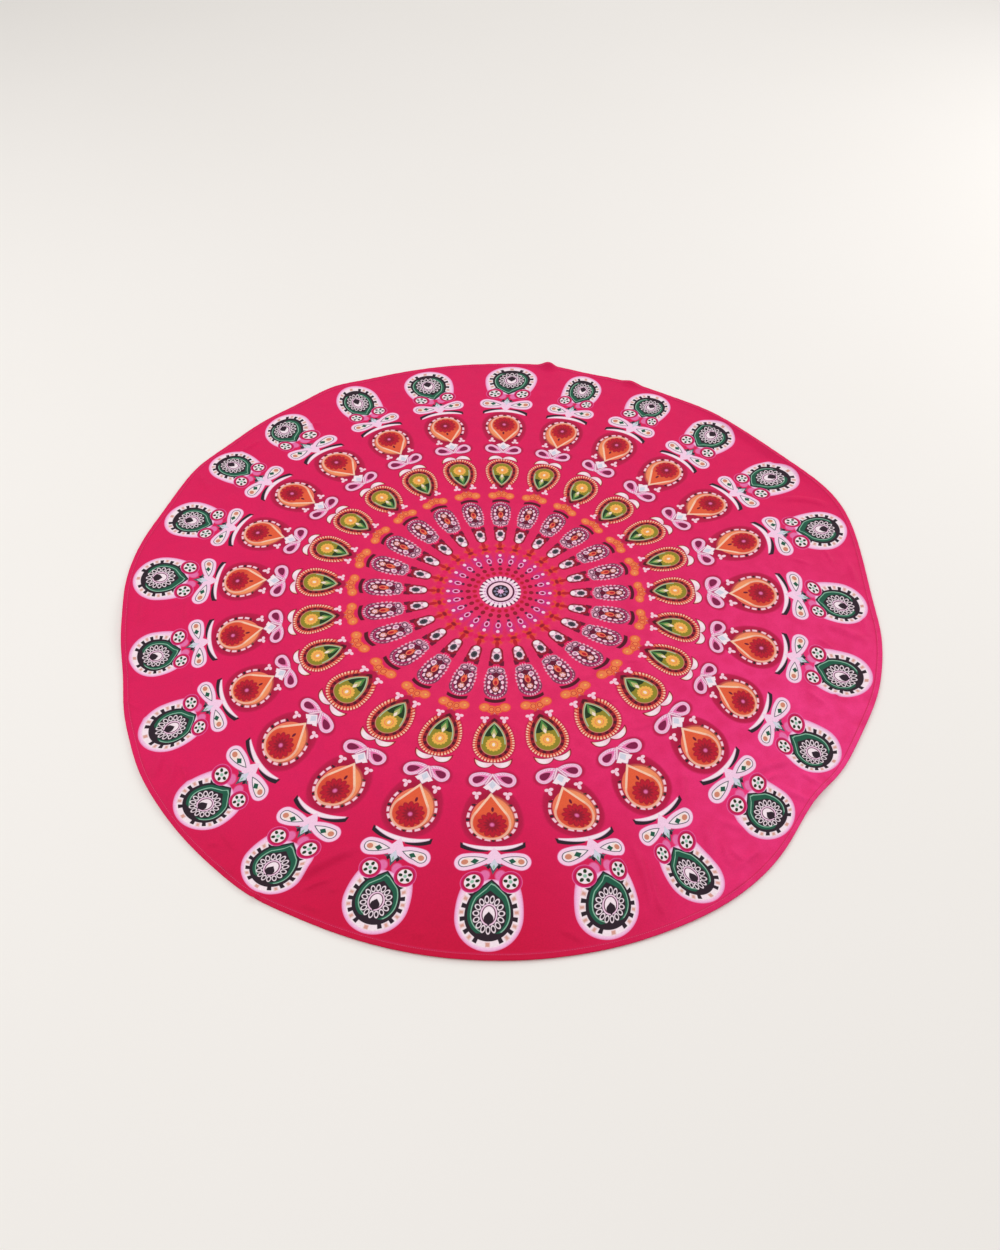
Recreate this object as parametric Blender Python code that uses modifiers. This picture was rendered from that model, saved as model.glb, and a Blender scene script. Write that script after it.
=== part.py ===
"""A round beach towel lying flat: one printed cloth with a narrow turned hem.

Metres, +Z up. The towel lies on the plane z = 0, and the origin is the middle of the box
round its outline. The tables are in millimetres and degrees, with x and y measured from
the middle of the print and angles anticlockwise from +X, as seen from above.
"""

import math

import bmesh
import bpy
from mathutils import Vector, kdtree
from mathutils.geometry import delaunay_2d_cdt

MM = 0.001

# Driving dimensions
CLOTH_RADIUS = 0.750  # the flat cut is a circle 1.50 m across
CLOTH_THICKNESS = 0.0015
HEM_WIDTH = 0.010  # the edge is turned under and stitched down
HEM_EXTRA = 0.0008  # what the turned layers add to the thickness
HEM_STEP = 0.002  # the run over which the hem falls to the single cloth

# How finely the surface is divided
FIELD_SPACING = 0.052  # between points where the cloth is flat
RIM_STEP = 2.0  # degrees between points round the rim
CREASE_STEP = 0.011  # along a crease
CREASE_ROWS = (-1.0, -0.6, -0.3, 0.0, 0.3, 0.6, 1.0)  # across a crease, in parts of its reach
LEAST_GAP = 0.004  # a point nearer than this to another is left out

# Where the cloth was tugged as it was laid out: the place of the tug on the flat cut, how
# far the cloth moved there, and how far away the cloth still followed.
#   angle, radius, shift_x, shift_y, reach
PULLS = (
    (20, 760, 30, 14, 150),
    (48, 700, -2, 12, 90),
    (12, 560, 4, 16, 110),
    (0, 700, -8, -26, 90),
    (345, 700, -4, -14, 70),
    (330, 720, -34, -14, 130),
    (318, 800, -24, 26, 120),
    (303, 670, -24, -14, 90),
    (283, 600, 16, 10, 90),
    (234, 600, -8, -20, 110),
    (197, 740, 22, 2, 120),
    (176, 680, 0, 14, 80),
    (172, 430, -4, 12, 150),
    (153, 700, -10, 14, 70),
    (136, 650, -28, 2, 80),
    (122, 760, -4, 20, 80),
    (108, 690, -14, -6, 80),
    (84, 710, 28, 2, 100),
    (80, 480, 2, -14, 130),
    (45, 365, -10, -18, 130),
    (0, 365, -12, 8, 80),
    (322, 365, 20, 16, 130),
    (236, 420, -6, -10, 90),
    (212, 365, -20, 6, 110),
    (0, 0, 5, -5, 150),
)

# The main creases, each a soft ridge from its start to its end.
#   start_x, start_y, end_x, end_y, bow, height, reach
CREASES = (
    (-326, -630, -214, -562, 5, 7, 17),
    (320, -392, 315, -500, 3, 4, 15),
    (222, -534, 254, -684, 8, 5, 13),
    (243, -575, 270, -690, -6, 4, 11),
    (444, -416, 522, -390, 4, 5, 13),
    (484, -434, 562, -484, -4, 4, 13),
    (352, -500, 359, -584, -3, 4, 13),
    (366, -508, 424, -532, 4, 4, 12),
    (356, -644, 410, -598, -3, 4, 13),
    (142, -234, 220, -182, 3, 3, 12),
    (622, -68, 726, -130, 3, 4, 18),
    (600, 272, 724, 252, 12, 4, 15),
    (-706, -28, -688, -114, 4, 4, 15),
    (-618, -22, -600, -110, 3, 4, 14),
    (-581, -452, -577, -390, 3, 5, 12),
    (-554, -460, -558, -396, -3, 4, 11),
    (-452, -594, -408, -622, 3, 4, 12),
    (-676, 336, -630, 268, 4, 4, 14),
)
CREASE_FADE = 0.35  # the part of a crease's length over which each end sinks away

# Where the rim stands up off the ground.
#   angle, half_span, height, inset of the top from the edge, reach in from the top
RIM_LIFTS = (
    (36, 25, 8, 7, 22),
    (83, 2.2, 13, 6, 18),
    (65, 2.4, 8, 6, 16),
    (321, 6, 4, 4, 20),
    (187, 9, 4, 4, 18),
)
RIM_ROWS = (0.0, HEM_WIDTH, HEM_WIDTH + HEM_STEP, 0.018, 0.029)  # insets of points round the rim
HEM_ROWS = 3  # how many of these rows belong to the hem

CLOTH_PINK = (0.74, 0.02, 0.12, 1.0)
CLOTH_ROUGHNESS = 0.7


def bump(share):
    """1 at 0, falling smoothly to 0 at -1 and 1 and staying there."""
    return math.cos(share * math.pi / 2) ** 2 if abs(share) < 1 else 0.0


def turned(angle, radius):
    """The point at this angle in degrees and this distance from the middle."""
    return Vector((math.cos(math.radians(angle)), math.sin(math.radians(angle)))) * radius


def shift_of(flat):
    """How far a point of the flat cut has moved in the cloth as it lies."""
    shift = Vector((0.0, 0.0))
    for angle, radius, shift_x, shift_y, reach in PULLS:
        away = (flat - turned(angle, radius * MM)).length / (reach * MM)
        shift += Vector((shift_x, shift_y)) * MM * math.exp(-away * away)
    return shift


def laid(flat):
    return flat + shift_of(flat)


def unlaid(place):
    """The point of the flat cut that lies here."""
    flat = place.copy()
    for _ in range(8):
        flat = place - shift_of(flat)
    return flat


def crease_point(crease, along, across):
    """A point beside a crease: along runs 0 to 1, across is in metres to the left of it."""
    start_x, start_y, end_x, end_y, bow, _, _ = crease
    start = Vector((start_x, start_y)) * MM
    run = Vector((end_x, end_y)) * MM - start
    left = Vector((-run.y, run.x)).normalized()
    return start + run * along + left * (across + bow * MM * 4 * along * (1 - along))


def crease_height(place):
    """How high the creases lift the cloth here."""
    highest = 0.0
    for start_x, start_y, end_x, end_y, bow, height, reach in CREASES:
        start = Vector((start_x, start_y)) * MM
        run = Vector((end_x, end_y)) * MM - start
        along = (place - start).dot(run) / run.length_squared
        if not 0 < along < 1:
            continue
        left = Vector((-run.y, run.x)).normalized()
        across = (place - start).dot(left) - bow * MM * 4 * along * (1 - along)
        fade = 1 - bump(min(along, 1 - along) / CREASE_FADE)
        highest = max(highest, height * MM * fade * bump(across / (reach * MM)))
    return highest


def rim_height(flat):
    """How high the rim stands here, from the place on the flat cut."""
    inset = CLOTH_RADIUS - flat.length
    angle = math.degrees(math.atan2(flat.y, flat.x))
    total = 0.0
    for middle, half_span, height, top, reach in RIM_LIFTS:
        turn = (angle - middle + 180) % 360 - 180
        total += height * MM * bump(turn / half_span) * bump((inset - top * MM) / (reach * MM))
    return total


def rim_angles():
    """Angles round the rim: even steps, and closer ones over a short lift."""
    angles = {RIM_STEP * step for step in range(round(360 / RIM_STEP))}
    for middle, half_span, _, _, _ in RIM_LIFTS:
        if half_span < 2 * RIM_STEP:
            angles = {a for a in angles if abs(a - middle) > half_span + RIM_STEP / 3}
            angles |= {middle + half_span * part / 3 for part in range(-3, 4)}
    return sorted(angles)


def surface_points():
    """The place on the flat cut of every point, the rim's first, in order round it."""
    flats = []
    for inset in RIM_ROWS:
        flats += [turned(angle, CLOTH_RADIUS - inset) for angle in rim_angles()]
    for crease in CREASES:
        length = (crease_point(crease, 1, 0) - crease_point(crease, 0, 0)).length
        steps = max(4, round(length / CREASE_STEP))
        for step in range(steps + 1):
            for row in CREASE_ROWS:
                place = crease_point(crease, step / steps, row * crease[-1] * MM)
                flats.append(unlaid(place))
    rings = int(CLOTH_RADIUS / FIELD_SPACING)
    for ring in range(rings):
        radius = (ring + 0.5) * FIELD_SPACING
        count = max(5, round(2 * math.pi * radius / FIELD_SPACING))
        flats += [turned(360 * (step + ring / 2) / count, radius) for step in range(count)]
    return flats


def thinned(flats, keep):
    """The points without any that crowds an earlier one; the first few always stay."""
    tree = kdtree.KDTree(len(flats))
    for index, flat in enumerate(flats):
        tree.insert(flat.to_3d(), index)
    tree.balance()
    kept = set(range(keep))
    for index, flat in enumerate(flats):
        near = tree.find_range(flat.to_3d(), LEAST_GAP)
        inside = flat.length < CLOTH_RADIUS - LEAST_GAP
        if inside and not any(other in kept for _, other, _ in near):
            kept.add(index)
    return [flats[index] for index in sorted(kept)]


def cloth_surface():
    """The underside of the laid cloth as an open mesh, with its hem marked."""
    rim_count = len(rim_angles())
    flats = thinned(surface_points(), HEM_ROWS * rim_count)
    places = [laid(flat) for flat in flats]
    rim = [(index, (index + 1) % rim_count) for index in range(rim_count)]
    places, _, triangles, origins, _, _ = delaunay_2d_cdt(places, rim, [], 1, 1e-6)

    mesh = bpy.data.meshes.new("cloth")
    shape = bmesh.new()
    layer = shape.verts.layers.deform.verify()
    low = Vector((min(place.x for place in places), min(place.y for place in places)))
    high = Vector((max(place.x for place in places), max(place.y for place in places)))
    middle = (low + high) / 2
    for place, origin in zip(places, origins):
        flat = flats[origin[0]] if origin else unlaid(place)
        height = crease_height(place) + rim_height(flat)
        vert = shape.verts.new(((place - middle).x, (place - middle).y, height))
        is_hem = flat.length > CLOTH_RADIUS - HEM_WIDTH - HEM_STEP / 2
        vert[layer][0] = 1.0 if is_hem else CLOTH_THICKNESS / (CLOTH_THICKNESS + HEM_EXTRA)
    shape.verts.ensure_lookup_table()
    for triangle in triangles:
        shape.faces.new([shape.verts[corner] for corner in triangle])
    bmesh.ops.recalc_face_normals(shape, faces=shape.faces)
    if sum(face.normal.z for face in shape.faces) < 0:
        bmesh.ops.reverse_faces(shape, faces=shape.faces)
    shape.to_mesh(mesh)
    shape.free()
    return mesh


def cloth_material():
    material = bpy.data.materials.new("printed_cloth")
    material.use_nodes = True
    shader = material.node_tree.nodes["Principled BSDF"]
    shader.inputs["Base Color"].default_value = CLOTH_PINK
    shader.inputs["Roughness"].default_value = CLOTH_ROUGHNESS
    shader.inputs["Metallic"].default_value = 0.0
    return material


def make_cloth(collection):
    """The whole towel: its underside, thickened upwards, a little more along the hem."""
    mesh = cloth_surface()
    mesh.materials.append(cloth_material())
    cloth = bpy.data.objects.new("cloth", mesh)
    collection.objects.link(cloth)
    cloth.vertex_groups.new(name="thickness")
    solidify = cloth.modifiers.new("thickness", "SOLIDIFY")
    solidify.thickness = CLOTH_THICKNESS + HEM_EXTRA
    solidify.offset = 1.0
    solidify.vertex_group = "thickness"
    return cloth


def main():
    for old in list(bpy.data.objects):
        bpy.data.objects.remove(old, do_unlink=True)
    collection = bpy.data.collections.new("round_beach_towel")
    bpy.context.scene.collection.children.link(collection)
    make_cloth(collection)


main()
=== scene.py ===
"""A round printed beach towel lying flat on a pale floor.

Lengths are metres unless a table or a comment says millimetres. The towel was cut as a
circle, and its "flat" place is the place on that cut. The tables of tugs and creases are in
millimetres and degrees, measured from the middle of the print, anticlockwise from +X.
"""

import math

import bpy
import numpy as np
from mathutils import Matrix, Vector, kdtree
from mathutils.geometry import delaunay_2d_cdt


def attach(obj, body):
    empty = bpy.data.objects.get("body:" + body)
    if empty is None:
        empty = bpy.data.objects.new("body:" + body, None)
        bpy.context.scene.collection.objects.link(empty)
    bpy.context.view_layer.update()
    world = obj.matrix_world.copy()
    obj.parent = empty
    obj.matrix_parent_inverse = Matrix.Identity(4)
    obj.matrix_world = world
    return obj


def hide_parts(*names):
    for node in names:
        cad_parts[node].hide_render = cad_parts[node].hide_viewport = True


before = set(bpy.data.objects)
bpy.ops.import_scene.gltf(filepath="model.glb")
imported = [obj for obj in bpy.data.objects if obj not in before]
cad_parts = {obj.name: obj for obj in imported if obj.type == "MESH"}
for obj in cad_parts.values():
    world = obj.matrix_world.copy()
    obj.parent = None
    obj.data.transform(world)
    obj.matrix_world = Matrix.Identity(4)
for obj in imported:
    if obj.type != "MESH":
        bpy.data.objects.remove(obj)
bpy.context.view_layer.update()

MM = 0.001
TAU = math.tau

# ---------------------------------------------------------------- the cloth's sizes
CLOTH_RADIUS = 0.750
CLOTH_THICKNESS = 0.0015
HEM_WIDTH = 0.010
HEM_EXTRA = 0.0008
HEM_STEP = 0.002  # the run over which the hem's extra thickness comes in
EDGE_ROUNDING = 0.0012  # the run over which the folded edge curves over

# Where the cloth was tugged as it was laid out: the place of the tug on the flat cut, how
# far the cloth moved there, and how far away the cloth still followed.
#   angle, radius, shift_x, shift_y, reach
PULLS = (
    (20, 760, 30, 14, 150),
    (48, 700, -2, 12, 90),
    (12, 560, 4, 16, 110),
    (0, 700, -8, -26, 90),
    (345, 700, -4, -14, 70),
    (330, 720, -34, -14, 130),
    (318, 800, -24, 26, 120),
    (303, 670, -24, -14, 90),
    (283, 600, 16, 10, 90),
    (234, 600, -8, -20, 110),
    (197, 740, 22, 2, 120),
    (176, 680, 0, 14, 80),
    (172, 430, -4, 12, 150),
    (153, 700, -10, 14, 70),
    (136, 650, -28, 2, 80),
    (122, 760, -4, 20, 80),
    (108, 690, -14, -6, 80),
    (84, 710, 28, 2, 100),
    (80, 480, 2, -14, 130),
    (45, 365, -10, -18, 130),
    (0, 365, -12, 8, 80),
    (322, 365, 20, 16, 130),
    (236, 420, -6, -10, 90),
    (212, 365, -20, 6, 110),
    (0, 0, 1, -10, 230),
    (0, 0, 4, 4, 70),
)

# Smaller tugs beside the spokes of the print.
#   angle, radius, outwards, clockwise, reach
SPOKE_PULLS = (
    (74.4, 690, -12, 9, 70),
    (59.4, 700, -2, 8, 50),
    (59.4, 630, 10, 6, 50),
    (29.4, 680, -6, -7, 60),
    (14.4, 620, 6, -5, 55),
    (359.4, 600, 6, -2, 50),
    (344.4, 680, -5, 9, 60),
    (329.4, 680, 11, 12, 65),
    (314.4, 680, 5, 11, 65),
    (284.4, 670, 3, -8, 60),
    (269.4, 640, -9, 0, 60),
    (269.4, 590, -3, -6, 45),
    (239.4, 690, 10, 0, 60),
    (224.4, 650, 5, -12, 75),
    (209.4, 685, -12, -12, 65),
    (194.4, 680, 0, -14, 70),
    (179.4, 600, -8, 0, 55),
    (164.4, 690, -7, -2, 55),
    (149.4, 610, 11, 0, 60),
    (134.4, 650, -5, -8, 65),
    (119.4, 680, -12, -13, 65),
    (104.4, 640, -6, 2, 50),
    (186, 752, -9, 0, 75),
    (89, 270, -9, 0, 100),
    (145, 265, 6, 0, 80),
    (175, 265, 5, 0, 80),
    (205, 265, 5, 0, 80),
    (240, 265, 4, 0, 80),
)

# The creases, each a soft ridge from its start to its end. The first eighteen are the main
# ones.
#   start_x, start_y, end_x, end_y, bow, height, reach
CREASES = (
    (-326, -630, -214, -562, 5, 7, 16),
    (320, -392, 315, -500, 3, 4, 11),
    (218, -534, 250, -684, 8, 5, 9),
    (248, -575, 274, -690, -6, 4.5, 8),
    (444, -416, 522, -390, 4, 5, 12),
    (484, -434, 562, -484, -4, 4, 10),
    (352, -500, 359, -584, -3, 4, 10),
    (366, -508, 424, -532, 4, 4, 11),
    (356, -644, 410, -598, -3, 4, 10),
    (142, -234, 220, -182, 3, 3, 12),
    (622, -68, 726, -130, 3, 4, 16),
    (600, 272, 724, 252, 12, 4, 13),
    (-706, -28, -688, -114, 4, 4, 13),
    (-618, -22, -600, -110, 3, 4, 12),
    (-581, -452, -577, -390, 3, 5, 11),
    (-554, -460, -558, -396, -3, 4, 10),
    (-452, -594, -408, -622, 3, 4, 10),
    (-676, 336, -630, 268, 4, 4, 12),
    (243, -335, 284, -315, 2, 2.2, 6.6),
    (234, -179, 273, -176, 2, 2.2, 6.6),
    (189, -267, 228, -262, -2, 2.2, 6.6),
    (301, -36, 337, -25, 2, 1.9, 6.6),
    (400, -586, 416, -600, 1, 2.7, 5.7),
    (674, 128, 686, 77, 3, 2.7, 7.4),
    (625, -354, 650, -309, 2, 3.2, 7.4),
    (-565, -226, -551, -260, 1, 2.2, 6.6),
    (-638, -306, -629, -331, 1, 2.4, 6.6),
    (-474, -565, -444, -566, 2, 2.4, 6.6),
    (-442, -324, -432, -345, 1, 2.0, 5.7),
    (-260, -641, -246, -641, 1, 2.4, 5.7),
    (-125, -712, -102, -712, 1, 2.7, 5.7),
    (196, -560, 224, -650, 3, 3.5, 6.6),
    (282, -560, 296, -640, -3, 3.0, 6.6),
    (372, -545, 380, -592, 2, 3.2, 6.6),
    (384, -554, 410, -584, -2, 3.0, 5.7),
    (390, -600, 440, -558, 3, 3.5, 7.4),
    (456, -436, 492, -416, 2, 3.2, 6.6),
    (526, -412, 564, -446, 2, 3.5, 7.4),
    (568, -232, 606, -272, -2, 3.0, 7.4),
    (608, -262, 650, -230, 2, 3.2, 7.4),
    (610, -112, 644, -142, 2, 3.0, 7.4),
    (-680, -280, -636, -308, 2, 3.0, 7.4),
    (-548, -405, -522, -460, 3, 3.5, 7.4),
    (-452, -534, -416, -578, -2, 3.2, 7.4),
    (-308, -646, -254, -620, 3, 3.5, 7.4),
    (-390, -668, -360, -644, 2, 3.2, 6.6),
    (-306, -664, -262, -678, 2, 3.0, 7.4),
    (-698, -174, -672, -256, 3, 3.2, 8.2),
    (-556, -250, -524, -290, -2, 2.7, 7.4),
    (332, -592, 345, -624, 2, 3.2, 6.6),
    (716, 100, 722, 12, 3, 3.5, 9.0),
    (598, 96, 646, 78, 2, 3.0, 8.2),
    (100, -698, 146, -722, 2, 3.0, 7.4),
    (568, 370, 624, 400, 3, 3.5, 9.0),
    (440, 528, 504, 500, 3, 3.5, 9.0),
    (-470, 484, -414, 512, 3, 3.5, 9.0),
    (-592, 392, -544, 448, 3, 3.5, 9.0),
    (714, -36, 712, -118, 3, 3.0, 8.2),
    (-140, -560, -118, -640, 2, 2.7, 7.4),
    (120, -480, 140, -540, 2, 2.2, 7.4),
    (-300, -470, -270, -500, 2, 2.2, 7.4),
    (330, 520, 352, 566, 2, 2.7, 8.2),
    (-180, 600, -150, 650, 2, 2.7, 8.2),
)
CREASE_FADE = 0.35  # the share of a crease over which each end rises from the cloth

# Where the rim stands up off the ground.
#   angle, half_span, height, inset of the top from the edge, reach in from the top
RIM_LIFTS = (
    (36, 25, 8, 7, 22),
    (83, 2.2, 13, 6, 18),
    (65, 2.4, 8, 6, 16),
    (321, 6, 4, 4, 20),
    (187, 9, 4, 4, 18),
)

# Slow unevenness of the ground and cloth: each wave's direction in degrees, its length in
# mm, its height in mm and its phase in degrees.
SWELLS = (
    (24, 410, 0.9, 40),
    (97, 330, 0.7, 150),
    (151, 250, 0.45, 20),
    (62, 190, 0.3, 260),
    (128, 140, 0.2, 95),
)

# Fine puckers along the hem: how many go round the rim, their height in mm and their phase.
PUCKERS = ((171, 0.22, 0), (233, 0.18, 70), (97, 0.2, 130))
PUCKER_REACH = 0.024  # how far in from the edge they die out

# How finely the cloth is divided, in metres
FIELD_SPACING = 0.0125
FIELD_GAP = 0.0075
RIM_STEP = 0.0042
CREASE_STEP = 0.0045
CREASE_GAP = 0.0022
CREASE_LEAST_STEPS = 4
RING_LEAST_POINTS = 5
CREASE_ROWS = (-1.1, -0.86, -0.66, -0.48, -0.32, -0.16, 0, 0.16, 0.32, 0.48, 0.66, 0.86, 1.1)
RIM_ROWS = (0, 0.0002, 0.0006, 0.0012, 0.0035, 0.0065, 0.0088, 0.0100, 0.0110, 0.0120,
            0.0150, 0.0190, 0.0235, 0.0285)


def bump(share):
    """1 at 0, falling smoothly to 0 at -1 and 1 and staying there."""
    return np.where(abs(share) < 1, np.cos(np.clip(share, -1, 1) * math.pi / 2) ** 2, 0)


def turned(angle, radius):
    """The points at these angles in degrees and distances from the middle."""
    angle = np.radians(angle)
    return np.stack([np.cos(angle) * radius, np.sin(angle) * radius], axis=-1)


def laid(flat):
    """Where points of the flat cut lie."""
    place = flat.copy()
    tugs = [(angle, radius, np.array((x, y)), reach) for angle, radius, x, y, reach in PULLS]
    for angle, radius, outwards, clockwise, reach in SPOKE_PULLS:
        shift = turned(angle, outwards) + turned(angle - 90, clockwise)
        tugs.append((angle, radius, shift, reach))
    for angle, radius, shift, reach in tugs:
        away = np.linalg.norm(flat - turned(angle, radius * MM), axis=-1) / (reach * MM)
        place += np.exp(-away * away)[:, None] * shift * MM
    return place


UNLAY_ROUNDS = 10  # each brings the points closer to where they belong


def unlaid(place):
    """The points of the flat cut that lie here."""
    flat = place.copy()
    for _ in range(UNLAY_ROUNDS):
        flat += place - laid(flat)
    return flat


def crease_frame(crease):
    """Where a crease starts, its run and the way to its left."""
    start = np.array(crease[0:2]) * MM
    run = np.array(crease[2:4]) * MM - start
    return start, run, np.array((-run[1], run[0])) / np.linalg.norm(run)


def bowed(bow, along):
    """How far to its left a bowed crease lies, this share of the way along it."""
    return bow * 4 * along * (1 - along)


def crease_height(place):
    highest = np.zeros(len(place))
    for crease in CREASES:
        start, run, left = crease_frame(crease)
        bow, height, reach = np.array(crease[4:]) * MM
        along = (place - start) @ run / (run @ run)
        across = (place - start) @ left - bowed(bow, along)
        fade = 1 - bump(np.minimum(along, 1 - along) / CREASE_FADE)
        ridge = height * fade * bump(across / reach)
        highest = np.maximum(highest, np.where((along > 0) & (along < 1), ridge, 0))
    return highest


def rim_height(flat):
    inset = CLOTH_RADIUS - np.linalg.norm(flat, axis=-1)
    angle = np.degrees(np.arctan2(flat[:, 1], flat[:, 0]))
    total = np.zeros(len(flat))
    for middle, half_span, height, top, reach in RIM_LIFTS:
        turn = (angle - middle + 180) % 360 - 180
        total += height * MM * bump(turn / half_span) * bump((inset - top * MM) / (reach * MM))
    for times, height, phase in PUCKERS:
        swing = 0.5 + 0.5 * np.sin(np.radians(angle * times + phase))
        total += height * MM * swing * bump(inset / PUCKER_REACH)
    return total


def swell_height(place):
    total = np.zeros(len(place))
    for angle, length_mm, height, phase in SWELLS:
        way = turned(angle, 1.0)
        swing = np.sin(place @ way * TAU / (length_mm * MM) + math.radians(phase))
        total += height * MM * (0.5 + 0.5 * swing)
    return total


def lift(flat, place):
    """How high the underside of the cloth stands."""
    return crease_height(place) + rim_height(flat) + swell_height(place)


def thickness(flat):
    """How thick the cloth is, its turned hem included."""
    inset = CLOTH_RADIUS - np.linalg.norm(flat, axis=-1)
    hem = np.clip((HEM_WIDTH + HEM_STEP - inset) / HEM_STEP, 0, 1)
    return CLOTH_THICKNESS + HEM_EXTRA * hem * hem * (3 - 2 * hem)


def edge_share(flat):
    """How much of the thickness is left where the folded edge curves over."""
    inset = CLOTH_RADIUS - np.linalg.norm(flat, axis=-1)
    edge = np.clip(1 - inset / EDGE_ROUNDING, 0, 1)
    return np.sqrt(1 - edge * edge)


# ---------------------------------------------------------------- the cloth's mesh
def thinned(points, gap, earlier):
    """The points that crowd neither an earlier one nor one of their own."""
    tree = kdtree.KDTree(len(earlier) + len(points))
    every = np.concatenate([earlier, points])
    for index, point in enumerate(every):
        tree.insert((point[0], point[1], 0), index)
    tree.balance()
    kept = set(range(len(earlier)))
    for index in range(len(earlier), len(every)):
        near = tree.find_range((every[index][0], every[index][1], 0), gap)
        if not any(other in kept for _, other, _ in near):
            kept.add(index)
    return every[sorted(kept)]


def cloth_points():
    """The place on the flat cut of every point of the cloth, the rim's first."""
    count = round(TAU * CLOTH_RADIUS / RIM_STEP)
    angles = np.arange(count) * 360 / count
    flats = np.concatenate([turned(angles, CLOTH_RADIUS - inset) for inset in RIM_ROWS])

    beside = []
    for crease in CREASES:
        start, run, left = crease_frame(crease)
        bow, _, reach = crease[4:]
        steps = max(CREASE_LEAST_STEPS, round(np.linalg.norm(run) / CREASE_STEP))
        along = np.linspace(0, 1, steps + 1)
        for row in CREASE_ROWS:
            across = row * reach * MM + bowed(bow * MM, along)
            beside.append(start + along[:, None] * run + across[:, None] * left)
    beside = unlaid(np.concatenate(beside))
    inside = np.linalg.norm(beside, axis=-1) < CLOTH_RADIUS - RIM_ROWS[-1] - CREASE_GAP
    flats = thinned(beside[inside], CREASE_GAP, flats)

    rings = int((CLOTH_RADIUS - RIM_ROWS[-1]) / FIELD_SPACING)
    field = []
    for ring in range(rings):
        radius = (ring + 0.5) * FIELD_SPACING
        around = max(RING_LEAST_POINTS, round(TAU * radius / FIELD_SPACING))
        field.append(turned((np.arange(around) + ring / 2) * 360 / around, radius))
    return count, thinned(np.concatenate(field), FIELD_GAP, flats)


INSIDE_RIM = 1  # the kind of triangulation that fills the rim and nothing outside it
SAME_PLACE = 1e-7


def sheet_of(count, flats):
    """The places of the points as they lie, and the triangles between them."""
    places = laid(flats)
    rim = [(index, (index + 1) % count) for index in range(count)]
    points = [Vector(place) for place in places]
    result = delaunay_2d_cdt(points, rim, [], INSIDE_RIM, SAME_PLACE)
    triangles, origins = result[2], result[3]
    back = [origin[0] for origin in origins]
    return places, np.array([[back[corner] for corner in triangle] for triangle in triangles])


# The middle and half width of the top and of the underside on the square of the OFBake map
BAKE_TOP = (0.432, 0.428)
BAKE_UNDER = (0.842, 0.152)


def add_map(mesh, name, corners):
    """A map of the mesh, from an array with two numbers for each corner of its faces."""
    layer = mesh.uv_layers.new(name=name)
    layer.data.foreach_set("uv", corners.astype(np.float32).ravel())


def make_cloth(middle, count, flats, places, triangles):
    """The towel as one closed piece: a top and an underside that share the rim's points."""
    half = thickness(flats) / 2
    level = lift(flats, places) + half
    half *= edge_share(flats)
    top = np.column_stack([places - middle, level + half])
    under = np.column_stack([places - middle, level - half])[count:]
    twin = np.arange(len(flats)) + len(flats) - count
    twin[:count] = np.arange(count)
    faces = np.concatenate([triangles, twin[triangles][:, ::-1]])

    mesh = bpy.data.meshes.new("cloth_sheet")
    mesh.from_pydata(np.concatenate([top, under]).tolist(), [], faces.tolist())
    corners = np.concatenate([triangles, triangles[:, ::-1]]).ravel()
    share = flats / CLOTH_RADIUS
    add_map(mesh, "print_place", share[corners] / 2 + 0.5)
    is_top = np.arange(len(corners)) < triangles.size
    top_map = BAKE_TOP[0] + share[corners] * BAKE_TOP[1]
    under_map = BAKE_UNDER[0] + share[corners] * (-BAKE_UNDER[1], BAKE_UNDER[1])
    add_map(mesh, "OFBake", np.where(is_top[:, None], top_map, under_map))
    mesh.shade_smooth()
    mesh.validate()
    cloth = bpy.data.objects.new("cloth_sheet", mesh)
    bpy.context.scene.collection.objects.link(cloth)
    return cloth


# ---------------------------------------------------------------- the stitches of the hem
STITCH_INSET = 0.0084
STITCH_PITCH = 0.0036
STITCH_LENGTH = 0.0027
STITCH_HALF_WIDTH = 0.00030
STITCH_RISE = 0.00022
STITCH_SIDES = 6
# The rings of points along a stitch: each one's place, width and rise, as shares of the
# stitch's length, half width and rise
STITCH_RINGS = ((-0.5, 0.35, -0.6), (-0.28, 1.0, 0.5), (0.28, 1.0, 0.5), (0.5, 0.35, -0.6))


def stitch_points(count):
    """The points of this many stitches, each stitch's rings one after the other."""
    ahead = math.degrees(MM / CLOTH_RADIUS)
    angles = np.arange(count) * 360 / count
    places = laid(turned(angles, CLOTH_RADIUS - STITCH_INSET))
    way = laid(turned(angles + ahead, CLOTH_RADIUS - STITCH_INSET)) - places
    way /= np.linalg.norm(way, axis=-1)[:, None]
    side_way = np.column_stack([-way[:, 1], way[:, 0]])
    points = []
    for along, swell, rise in STITCH_RINGS:
        for side in range(STITCH_SIDES):
            turn = TAU * side / STITCH_SIDES
            across = math.cos(turn) * STITCH_HALF_WIDTH * swell
            up = (math.sin(turn) * swell + rise) * STITCH_RISE
            spot = places + way * along * STITCH_LENGTH + side_way * across
            height = lift(unlaid(spot), spot) + CLOTH_THICKNESS + HEM_EXTRA + up
            points.append(np.column_stack([spot, height]))
    return np.stack(points, axis=1).reshape(-1, 3)


def stitch_faces(count):
    """The sides and the two ends of this many stitches."""
    each = len(STITCH_RINGS) * STITCH_SIDES
    faces = []
    for first in range(0, count * each, each):
        for ring in range(first, first + each - STITCH_SIDES, STITCH_SIDES):
            for side in range(STITCH_SIDES):
                near = ring + side
                beside = ring + (side + 1) % STITCH_SIDES
                faces.append((near, beside, beside + STITCH_SIDES, near + STITCH_SIDES))
        faces.append(tuple(first + side for side in reversed(range(STITCH_SIDES))))
        faces.append(tuple(first + each - STITCH_SIDES + side for side in range(STITCH_SIDES)))
    return faces


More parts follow.
